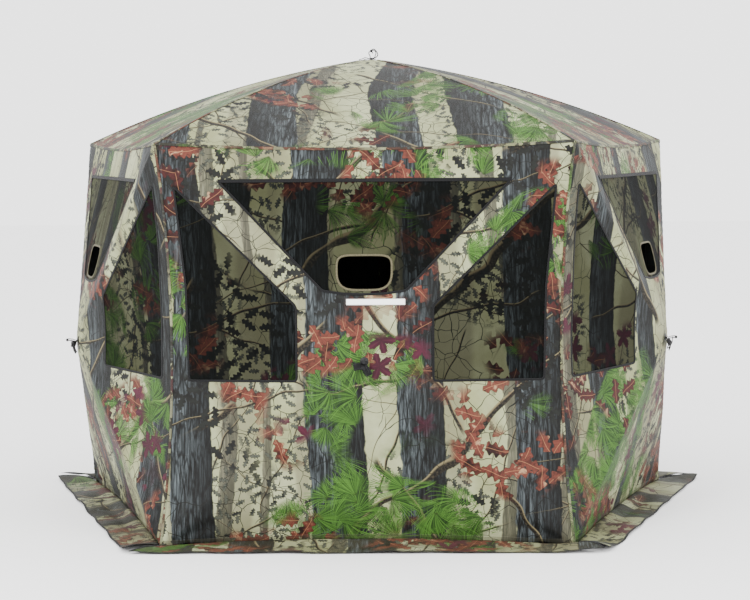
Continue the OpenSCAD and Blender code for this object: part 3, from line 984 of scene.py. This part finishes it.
def wall_cloth(name, i, cut, cut_from, slot, finish, thickness, out=0.0, body=None):
    """A flat cut of cloth set into wall i. It is baked in place, or rides on a body."""
    flat, faces = cut
    obj = new_mesh(name, on_wall(i, wall_points(flat[:, 0], flat[:, 1], i, out)), faces)
    facing(obj, on_wall(i, [(0, -1, 0)])[0] - on_wall(i, [(0, 0, 0)])[0])
    dress(obj, finish, slot, print_at=flat + cut_from)
    attach(obj, flat, body)
    return thick(obj, thickness, LINING)


def wall_band(name, i, parts, slot, finish, cut_from=(0, 0), body=None):
    """Bands sewn to wall i as one piece."""
    points, faces, at = joined(parts)
    obj = outward_mesh(new_mesh(name, on_wall(i, points), faces))
    dress(obj, finish, slot, band_at=at, print_at=points[:, [0, 2]] + cut_from)
    attach(obj, points, body)
    return obj


def inner_arc(low, share):
    """The door's edge nearest the hub: one share of the way out, between two rays."""
    return np.array([ray(t, share) for t in np.linspace(low, 1 - low, 40)])


def seam_part(low, high, count):
    """Stretch of the right-hand seam, in the wall plane."""
    return seam_points(1, np.linspace(low, high, count))[:, [0, 2]]


def ray_line(t, low, high, count=60):
    """Points along one ray, between two shares of the way out."""
    return np.array([ray(t, share) for share in np.linspace(low, high, count)])


def door_wall_outline():
    """The door wall's cloth: it ends at the door's opening, which runs out to the seam."""
    low, share = DOOR_LOW - ZIP_GAP, DOOR_IN - ZIP_GAP
    parts = [seam_part(0, low, 6)[:-1], ray_line(low, 1, share)[:-1], inner_arc(low, share),
             ray_line(1 - low, share, 1)[1:], seam_part(1 - low, 1, 6)[1:-1],
             EDGE[ARC_STEPS:][:, [0, 2]]]
    return anticlockwise(spaced(np.concatenate(parts), STEP))


plain_outline = anticlockwise(spaced(EDGE[:, [0, 2]], STEP))
plain_cut = flat_cloth(plain_outline, [WINDOWS["top"], WINDOWS["right"], WINDOWS["left"]])
door_wall_cut = flat_cloth(door_wall_outline(), [WINDOWS["top"], WINDOWS["left"]])
mesh_cuts = {side: flat_cloth(grown(ring, MESH_LAP), [PORT] if side == "top" else [])
             for side, ring in WINDOWS.items()}
heavy_edge = np.stack([np.linspace(0.557, -0.557, 90), np.full(90, 1.4085)], 1)


def window_mesh(name, i, side, cut_from, body=None):
    """Mesh behind a window. The black binding round it is a separate piece."""
    cut = mesh_cuts[side]
    mesh = wall_cloth(name, i, cut, cut_from, "window_mesh", MESH, MESH_T, -MESH_BEHIND, body)
    size = np.ptp(cut[0], axis=0)
    min(flat_area(cut) * CUT_SLACK, float(size[0] * size[1]))
    return mesh


for i in range(1, SIDES + 1):
    is_door = i == DOOR_WALL
    cut = door_wall_cut if is_door else plain_cut
    wall = wall_cloth(f"wall_cloth_{i}", i, cut, PRINT_AT[i], "camo_fabric", CLOTH, CLOTH_T)
    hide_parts(f"wall_{i}")
    sides = ["top", "left"] if is_door else ["top", "left", "right"]
    for k, side in enumerate(sides):
        shift = np.array(PRINT_AT[i]) + (0.37 + 0.9 * k, 1.3 + 0.45 * k)
        mesh = window_mesh(f"window_{side}_{i}", i, side, shift)
        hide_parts("centre_window_meshes" if side == "top" else "side_window_meshes")
    bands = [wall_ribbon(WINDOWS[side], i, BINDING_W, BINDING_T, closed=True) for side in sides]
    bands.append(wall_ribbon(heavy_edge, i, 0.014, BINDING_T * 1.5))
    binding = wall_band(f"window_binding_{i}", i, bands, "zip_tape", BINDING)
    rim_band = wall_ribbon(grown(PORT, 0.002), i, 0.008, 0.0016, True, -MESH_BEHIND)
    rim = wall_band(f"port_rim_{i}", i, [rim_band], "camo_fabric", RIM)
    hem_line = hem_points(np.linspace(0.004, 0.996, 150))[:, [0, 2]] + (0, 0.011)
    hem = wall_band(f"wall_hem_{i}", i, [wall_ribbon(hem_line, i, HEM_W, 0.0009)], "camo_fabric",
                    PIPING, PRINT_AT[i])
    flat_area(cut) * CUT_SLACK

# ---------------------------------------------------------------- door, in wall 4

door_ring = door_outline(DOOR_LOW, DOOR_IN, DOOR_OUT)
door_cut = flat_cloth(door_ring, [WINDOWS["right"]])
door = wall_cloth("door_cloth", DOOR_WALL, door_cut, PRINT_AT[DOOR_WALL], "camo_fabric", CLOTH,
                  CLOTH_T, body="door")
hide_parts("door_panel")
door_size = np.ptp(door_cut[0], axis=0)
door_mesh = window_mesh("door_window", DOOR_WALL, "right", (8.9, 3.1), "door")
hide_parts("door_window_mesh")
door_binding = wall_band("door_window_binding", DOOR_WALL,
                         [wall_ribbon(WINDOWS["right"], DOOR_WALL, BINDING_W, BINDING_T, True)],
                         "zip_tape", BINDING, body="door")


def door_run(low, share_in):
    """The door's zipped edges as one line: lower ray, inner arc, upper ray."""
    return spaced(np.concatenate([ray_line(low, DOOR_OUT, share_in)[:-1], inner_arc(low, share_in),
                                  ray_line(1 - low, share_in, DOOR_OUT)[1:]]), STEP, False)


def moved_in(line, by):
    """An open line moved to its left by a distance."""
    ahead = unit(np.gradient(line, axis=0))
    return line + by * np.stack([-ahead[:, 1], ahead[:, 0]], 1)


def zip_half(name, line, side, body=None):
    """Tape and coil along a zipped edge: side 1 on the door's cloth, -1 on the wall's."""
    if inside(door_ring, moved_in(line, side * 0.02)[60:61])[0] != (side > 0):
        line = line[::-1]
    bands = [wall_ribbon(moved_in(line, side * by), DOOR_WALL, width, thickness)
             for by, width, thickness in ((0.009, TAPE_W, TAPE_T), (0.0014, COIL_W, COIL_T))]
    return wall_band(name, DOOR_WALL, bands, "zip_tape", BINDING, body=body)


door_tape = zip_half("zip_tape_door", door_run(DOOR_LOW, DOOR_IN), 1, "door")
zip_half("zip_tape_wall", door_run(DOOR_LOW - ZIP_GAP, DOOR_IN - ZIP_GAP), -1)
max(flat_area(door_cut) * 1.01, 0.301 * float(door_size[0] * door_size[1]))

hinge_t = np.linspace(DOOR_LOW, 1 - DOOR_LOW, 60)
hinge_ring = np.concatenate([[ray(t, 0.9985) for t in hinge_t],
                             [ray(t, STRIP_IN) for t in hinge_t[::-1]]])
hinge_cut = flat_cloth(anticlockwise(spaced(hinge_ring, 0.008)), (), 0.008)
hinge = wall_cloth("door_hinge_cloth", DOOR_WALL, hinge_cut, PRINT_AT[DOOR_WALL], "zip_tape",
                   CLOTH, CLOTH_T, body="door_edge")
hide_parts("door_hinge_strip")
hinge_w, hinge_h = 0.05, float(np.ptp(hinge_cut[0][:, 1]))
min(flat_area(hinge_cut) * CUT_SLACK, hinge_w * hinge_h)

# ---------------------------------------------------------------- blank strip under the front port

label_low, label_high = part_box("blank_label")
label_z = (label_low.z + label_high.z) / 2
label_line = np.stack([np.linspace(label_low.x, label_high.x, 40), np.full(40, label_z)], 1)
label = wall_band("label_strip", 1, [wall_ribbon(label_line, 1, 0.0225, 0.0010, out=0.0004)],
                  "label_fabric", LABEL)
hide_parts("blank_label")

# ---------------------------------------------------------------- seams between walls and roof


def seam_band(name, place, path, normals, width, thickness, cut_from, weights=None):
    """Cloth folded over a seam. It rides on the shell, or, when given weights, is baked in place.
    """
    points, faces, at = ribbon(path - normals * 0.0012, normals, width, thickness)
    obj = outward_mesh(new_mesh(name, place(points), faces))
    dress(obj, PIPING, "camo_fabric", band_at=at, print_at=at + cut_from)
    if weights:
        follow_hub(obj, weights(points))
    else:
        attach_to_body(obj, ROOT)


def gore_share(x, y):
    """Share of the way from the roof's disc to the eave, in the frame of a gore."""
    reach = np.hypot(x, y)
    angle = np.clip(np.arctan2(y, x), 0, TURN)
    edge = APOTHEM / np.cos(angle - TURN / 2)
    return np.clip((reach - DISC_R) / (edge - DISC_R), 0, 1), angle, reach


def gore_weights(points):
    """How much roof cloth follows the roof's hub."""
    return 1 - gore_share(points[:, 0], points[:, 1])[0]


def gore_points(x, y, seed):
    """The roof cloth over x, y: the cone from disc to eave, arched, with its unevenness."""
    share, angle, reach = gore_share(x, y)
    across = 0.5 + np.tan(angle - TURN / 2) / (2 * math.tan(TURN / 2))
    z = TOP_H - ROOF_RISE * share + ROOF_ARCH * bow(share) - EAVE_SAG * share * bow(across)
    inner = smooth(0, 0.06, 1 - share) * smooth(0, 0.05, bow(across))
    z = z + RIPPLE * ripples(x, y, seed) * inner
    z = z - 0.0012 * swell(reach, 0.075, 0.035) * np.sin(angle * 15 + seed)
    for end in (0, TURN):
        cx, cy = CORNER_R * math.cos(end) - x, CORNER_R * math.sin(end) - y
        away = np.hypot(cx, cy)
        fan = 17 * np.arctan2(cy, cx) + seed
        z = z + 0.0020 * swell(away, 0.15, 0.10) * inner * np.sin(fan)
    return np.stack([x, y, z + LIFT], 1)


ROWS, COLUMNS = 96, 100
GORE_AT = {1: (1.1, 3.2), 2: (3.9, 4.1), 3: (6.6, 3.5), 4: (9.2, 4.4), 5: (0.2, 5.3)}
shares, acrosses = (grid.reshape(-1, 1) for grid in np.meshgrid(
    np.linspace(1e-4, 1, ROWS + 1), np.linspace(0, 1, COLUMNS + 1), indexing="ij"))
eave_ends = CORNER_R * np.array([(1, 0), (math.cos(TURN), math.sin(TURN))])
gore_xy = shares * (eave_ends[0] * (1 - acrosses) + eave_ends[1] * acrosses)
gore_flat = np.hstack([(acrosses - 0.5) * 2 * HALF_W * shares, shares * APOTHEM * ARCH_SLACK])

for k in range(1, SIDES + 1):
    points = gore_points(gore_xy[:, 0], gore_xy[:, 1], 5 * k + 3)
    gore = facing(new_mesh(f"roof_cloth_{k}", on_gore(k, points),
                           grid_faces(ROWS, COLUMNS)), (0, 0, 1))
    dress(gore, CLOTH, "camo_fabric", print_at=gore_flat * (-1, -1) + GORE_AT[k])
    follow_hub(gore, gore_weights(points))
    thick(gore, CLOTH_T, LINING)
    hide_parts("roof_cover")

    t = np.linspace(0, 0.998, 130)
    reach = DISC_R + (CORNER_R - DISC_R) * t
    ridge = np.stack([reach, 0 * t, TOP_H - ROOF_RISE * t + ROOF_ARCH * bow(t) + LIFT], 1)
    up = np.stack([np.full(130, 0.24), 0 * t, np.full(130, 0.97)], 1)
    seam_band(f"roof_seam_{k}", lambda p: on_gore(k, p), ridge, up, 0.013, 0.0024,
              (4.7 * k, 6), gore_weights)

    t = np.linspace(0.002, 0.998, 170)
    up = np.repeat([(0, -0.82, 0.57)], 170, 0)
    seam_band(f"eave_seam_{k}", lambda p: on_wall(k, p), eave_points(t), up, 0.012, 0.0028,
              (2.1 * k, 4.2))
    t = np.linspace(0.004, 0.996, 170)
    out = np.repeat([(math.sin(TURN / 2), -math.cos(TURN / 2), 0)], 170, 0)
    seam_band(f"corner_piping_{k}", lambda p: on_wall(k, p), seam_points(1, t), out, 0.012,
              0.0030, (3.3 * k, 7.4))

# ---------------------------------------------------------------- ground skirt

FLAP_COLUMNS, FLAP_ROWS = 170, 18


def flap_points(i):
    """A mitred flap that leaves the hem of wall i and lies outwards on the ground in waves."""
    c, v = np.meshgrid(np.linspace(-1, 1, FLAP_COLUMNS + 1), np.linspace(0, 1, FLAP_ROWS + 1),
                       indexing="ij")
    c, v = c.ravel(), v.ravel()
    rng = np.random.default_rng(40 + i)
    phase = rng.uniform(0, math.tau, 6)
    reach = HALF_W - FLAP_END
    x = c * (reach + SKIRT_W * math.tan(TURN / 2) * v)
    hem = HEM_LIFT * bow((c + 1) / 2)
    wave = (np.sin(x * 9 + phase[0]) + 0.8 * np.sin(x * 17 + phase[1] + v * 1.5)
            + 0.5 * np.sin(x * 35 + phase[2] - v * 2.0))
    free = np.exp(-((1 - np.abs(c)) * reach / 0.07) ** 2)
    lift = 0.0050 * (wave + 1.2) * np.sin(math.pi * np.minimum(1, v * 0.8 + 0.04))
    curl = free * (0.016 + 0.008 * np.sin(phase[3] + np.sign(c) * 1.3)) * np.sin(math.pi * v * 0.72)
    z = 0.0022 + hem * (1 - smooth(0, 0.45, v)) + np.maximum(lift, 0) + curl + 0.0015 * v * (
        1 + np.sin(x * 13 + phase[4]))
    y = -0.0010 - SKIRT_W * v + 0.0030 * v * np.sin(x * 21 + phase[5])
    return np.stack([x, y, z], 1), np.stack([x, -SKIRT_W * v], 1)


TAB_OUT, TAB_R, HOLE_R, TAB_STEP = 0.048, 0.0128, 0.0083, 0.0035
for i in range(1, SIDES + 1):
    points, flat = flap_points(i)
    flap = facing(new_mesh(f"skirt_flap_{i}", on_wall(i, points),
                           grid_faces(FLAP_COLUMNS, FLAP_ROWS)), (0, 0, 1))
    dress(flap, SKIRT, "skirt_fabric", print_at=flat + np.array(PRINT_AT[i]) + (0.6, 2.2))
    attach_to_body(flap, ROOT)
    thick(flap, 0.0010, LINING)
    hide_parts("ground_skirt")
    grid = points.reshape(FLAP_COLUMNS + 1, FLAP_ROWS + 1, 3)
    line = np.concatenate([grid[0, 2:-1], grid[:, -1], grid[-1, 2:-1][::-1]])
    upright = np.repeat([(0.0, 0, 1)], len(line), 0)
    band, faces, at = ribbon(line + (0, 0.004, 0), upright, 0.010, 0.0012)
    hem = outward_mesh(new_mesh(f"skirt_hem_{i}", on_wall(i, band), faces))
    dress(hem, BINDING, "zip_tape", band_at=at)
    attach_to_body(hem, ROOT)

    a = np.linspace(-math.pi / 2, math.pi / 2, 22)
    rounded = np.stack([TAB_OUT + TAB_R * np.cos(a), TAB_R * np.sin(a)], 1)
    tab_edge = np.concatenate([[(0.012, 0.012), (0.012, -0.012)], rounded])
    a = np.linspace(0, math.tau, 36, endpoint=False)
    hole = np.stack([TAB_OUT + HOLE_R * np.cos(a), HOLE_R * np.sin(a)], 1)
    flat, faces = flat_cloth(anticlockwise(spaced(tab_edge, TAB_STEP)), [hole], TAB_STEP)
    at_ground = np.column_stack([flat, np.full(len(flat), 0.0020)])
    tab = new_mesh(f"stake_tab_{i}", on_corner(i, at_ground), faces)
    dress(facing(tab, (0, 0, 1)), WEBBING, "webbing", band_at=flat)
    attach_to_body(tab, ROOT)
    thick(tab, 0.0011)

# ---------------------------------------------------------------- hardware at the hubs


def on_hub(i):
    """Places points of a hub's own frame, x right, y out of the tent and z up, at wall hub i."""
    return lambda p: on_wall(i, np.asarray(p, float) * (1, -1, 1) + (0, -BULGE, HUB_H))


def on_roof(p):
    """Points from the top of the roof's hub, moved to the row frame."""
    return np.asarray(p, float) + (0, CENTRE_Y, TOP_H)


def turned(profile, segments=48):
    """Round piece about z from (radius, height) points: points and faces."""
    points = [(r * math.cos(a), r * math.sin(a), h) for r, h in profile
              for a in np.linspace(0, math.tau, segments, endpoint=False)]
    return np.array(points), tube_faces(len(profile), segments)


def blob(centre, radii, seed, rough=0.08):
    """A knot: a lumpy ball of rope turns."""
    profile = [(max(math.cos(e), 0.02), math.sin(e)) for e in np.linspace(-1.55, 1.55, 22)]
    points, faces = turned(profile, 32)
    angle = np.arctan2(points[:, 1], points[:, 0])
    lump = 1 + rough * np.sin(3 * angle + 5 * points[:, 2] + seed) + rough * 0.6 * np.sin(
        7 * points[:, 2] - 2 * angle + 2 * seed)
    return points * lump[:, None] * radii + centre, faces


def tube(path, radius, segments=12):
    """A round cord along a path, as a mesh: points and faces."""
    path = np.asarray(path, float)
    ahead = unit(np.gradient(path, axis=0))
    side = np.cross(ahead[0], (0.13, 0.97, 0.21))
    points = []
    for k in range(len(path)):
        side = side - ahead[k] * side.dot(ahead[k])
        side /= np.linalg.norm(side)
        other = np.cross(ahead[k], side)
        points += [path[k] + radius * (math.cos(a) * side + math.sin(a) * other)
                   for a in np.linspace(0, math.tau, segments, endpoint=False)]
    return np.array(points), tube_faces(len(path), segments)


def curve_through(points, count=60):
    """Smooth line through points, evenly spaced."""
    p = np.array(points, float)
    ends = np.concatenate([[2 * p[0] - p[1]], p, [2 * p[-1] - p[-2]]])
    line = []
    for k in range(1, len(ends) - 2):
        a, b, c, d = ends[k - 1:k + 3]
        for t in np.linspace(0, 1, 24, endpoint=False):
            line.append(0.5 * (2 * b + (c - a) * t + (2 * a - 5 * b + 4 * c - d) * t ** 2
                               + (3 * b - a - 3 * c + d) * t ** 3))
    line = np.array(line + [p[-1]])
    run = np.concatenate([[0], np.cumsum(np.linalg.norm(np.diff(line, axis=0), axis=1))])
    even = np.linspace(0, run[-1], count)
    return np.stack([np.interp(even, run, line[:, k]) for k in range(3)], 1)


def hub_piece(name, place, parts, finish, slot, body):
    """Hard or cord pieces in a hub's frame, as one mesh that rides with the hub."""
    points, faces, *at = joined(parts)
    obj = outward_mesh(new_mesh(name, place(points), faces))
    dress(obj, finish, slot, **{"band_at": a for a in at})
    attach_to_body(obj, body)
    return obj


def cord_piece(name, place, points, diameter, body):
    """A cord in a hub's frame, from where it leaves the object."""
    path = place(curve_through(points, 90))
    obj = outward_mesh(new_mesh(name, *tube(path, diameter / 2)))
    dress(obj, CORD, "webbing")
    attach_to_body(obj, body)
    return obj


def strap_part(path, normal, width, thickness):
    """A strap along a path in a hub's frame: ribbon points, faces and stitching place."""
    path = curve_through(path, 60)
    normals = np.repeat([normal], len(path), 0) if np.ndim(normal) == 1 else normal
    return ribbon(path - normals * thickness / 2, normals, width, thickness, crown=0.3)


WASHER = [(0.002, 0.0042), (0.0060, 0.0042), (0.0068, 0.0035), (0.0068, 0.0026), (0.0150, 0.0026),
          (0.0160, 0.0018), (0.0160, 0.0006), (0.002, 0.0006)]


def washer(name, place, body, axes):
    """Washer and bolt head that clamp the cloth to a hub."""
    points, faces = turned(WASHER)
    hub_piece(name, place, [(points @ axes, faces)], NYLON, "moulded_plastic", body)


for i in range(1, SIDES + 1):
    body, place = f"hub_{i}", on_hub(i)
    washer(f"hub_washer_{i}", place, body, np.array([(1, 0, 0), (0, 0, 1), (0, 1, 0)]))
    # flat loop of webbing that stands out of the hub, with a knotted end
    loop = [(0.002, 0.004, -0.002), (0.002, 0.022, 0.004), (0.001, 0.040, 0.006), (0, 0.048, 0.003),
            (-0.001, 0.046, -0.002), (-0.002, 0.034, -0.003), (-0.002, 0.018, -0.005),
            (-0.002, 0.004, -0.010)]
    line = curve_through(loop, 70)
    ahead = np.gradient(line, axis=0)
    normals = unit(np.cross(ahead, np.repeat([(1.0, 0, 0)], len(line), 0)))
    strap = ribbon(line, normals, 0.024, 0.0018, crown=0.3)
    arm_1 = strap_part([(0.004, 0.010, -0.010), (-0.006, 0.020, -0.016), (-0.026, 0.024, -0.017),
                        (-0.040, 0.020, -0.022)], (0, 0.94, 0.34), 0.026, 0.0042)
    arm_2 = strap_part([(-0.008, 0.018, -0.010), (0.004, 0.022, -0.022), (0.014, 0.020, -0.038),
                        (0.020, 0.014, -0.052)], (0.1, 0.98, 0.12), 0.024, 0.0042)
    bundle = hub_piece(f"pull_webbing_{i}", place, [strap, arm_1, arm_2], WEBBING, "webbing", body)
    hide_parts(f"pull_strap_{i}")
    knot = hub_piece(f"pull_knot_{i}", place,
                     [blob((-0.001, 0.020, -0.021), (0.013, 0.009, 0.009), i),
                      blob((0.0, 0.047, 0.001), (0.007, 0.005, 0.006), i + 2)],
                     CORD, "webbing", body)
    cord_piece(f"pull_cord_{i}", place,
               [(0.006, 0.031, 0.001), (0.0065, 0.031, -0.008), (0.007, 0.030, -0.018),
                (0.012, 0.026, -0.028), (0.016, 0.020, -0.037), (0.013, 0.012, -0.046),
                (0.004, 0.0095, -0.048), (-0.004, 0.012, -0.041), (-0.006, 0.017, -0.032)],
               0.0032, body)

# roof: washer, flat strap, and a standing loop of doubled cord with its knot
washer("roof_washer", on_roof, "roof_hub", np.eye(3))
base = hub_piece("roof_strap", on_roof, [
    strap_part([(-0.052, 0.002, 0.0035), (-0.038, 0.001, 0.0075), (-0.024, 0, 0.0130),
                (-0.012, 0, 0.0090), (0.000, 0, 0.0070), (0.016, 0, 0.0065)],
               (0, 0, 1), 0.020, 0.0020),
    strap_part([(-0.030, -0.002, 0.0050), (-0.016, -0.002, 0.0062), (0.004, 0, 0.0060),
                (0.020, 0.002, 0.0050)], (0, 0, 1), 0.016, 0.0024)], WEBBING, "webbing", "roof_hub")
roof_knot = hub_piece("roof_knot", on_roof,
                      [blob((0.001, 0, 0.0410), (0.0062, 0.0050, 0.0048), 1),
                       blob((0.0005, 0, 0.0085), (0.0060, 0.0050, 0.0035), 3),
                       tube(curve_through([(0.003, 0, 0.039), (0.006, 0.001, 0.034),
                                           (0.0085, 0.001, 0.0300)], 14), 0.0021)],
                      CORD, "webbing", "roof_hub")
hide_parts("roof_pull_loop")
cord_piece("roof_loop_outer", on_roof,
           [(-0.004, -0.001, 0.009), (-0.0045, -0.001, 0.020), (-0.0085, -0.001, 0.0275),
            (-0.0085, -0.001, 0.0350), (-0.002, -0.001, 0.0400), (0.006, -0.001, 0.0475),
            (0.014, -0.001, 0.0480), (0.022, -0.001, 0.0410), (0.0275, -0.001, 0.0320),
            (0.0290, -0.001, 0.0230), (0.0240, -0.001, 0.0150), (0.0140, -0.001, 0.0105),
            (0.006, -0.001, 0.0085)], 0.0042, "roof_hub")
cord_piece("roof_loop_inner", on_roof,
           [(0.003, 0.004, 0.0400), (0.010, 0.004, 0.0440), (0.017, 0.004, 0.0405),
            (0.0215, 0.004, 0.0320), (0.0185, 0.004, 0.0225), (0.0165, 0.004, 0.0150),
            (0.010, 0.004, 0.0100)], 0.0036, "roof_hub")

# ---------------------------------------------------------------- floor and light

bpy.ops.mesh.primitive_plane_add(size=60, location=(0, 0, -0.0005))
floor = bpy.context.object
floor.name = "floor"
paper = material("floor_paper", 0.9, Specular_IOR_Level=0.1)
paper.inputs["Base Color"].default_value = (0.93, 0.93, 0.93, 1)
floor.data.materials.append(paper.material)


def area_light(name, location, size, power, target=(0, CENTRE_Y, 0.8)):
    light = bpy.data.lights.new(name, "AREA")
    light.shape, light.size, light.energy = "DISK", size, power
    obj = linked(name, light)
    obj.location = location
    obj.rotation_euler = (Vector(target) - Vector(location)).to_track_quat("-Z", "Y").to_euler()
    return obj


lights = [area_light("key_light", (-3.5, -6.5, 4.5), 3.5, 470),
          area_light("fill_light", (5.5, -5.5, 3.0), 4.0, 240)]
world = bpy.data.worlds.new("studio")
bpy.context.scene.world = world
world.use_nodes = True
sky = world.node_tree.nodes["Background"].inputs
sky["Color"].default_value = (1, 1, 1, 1)
sky["Strength"].default_value = 2.9
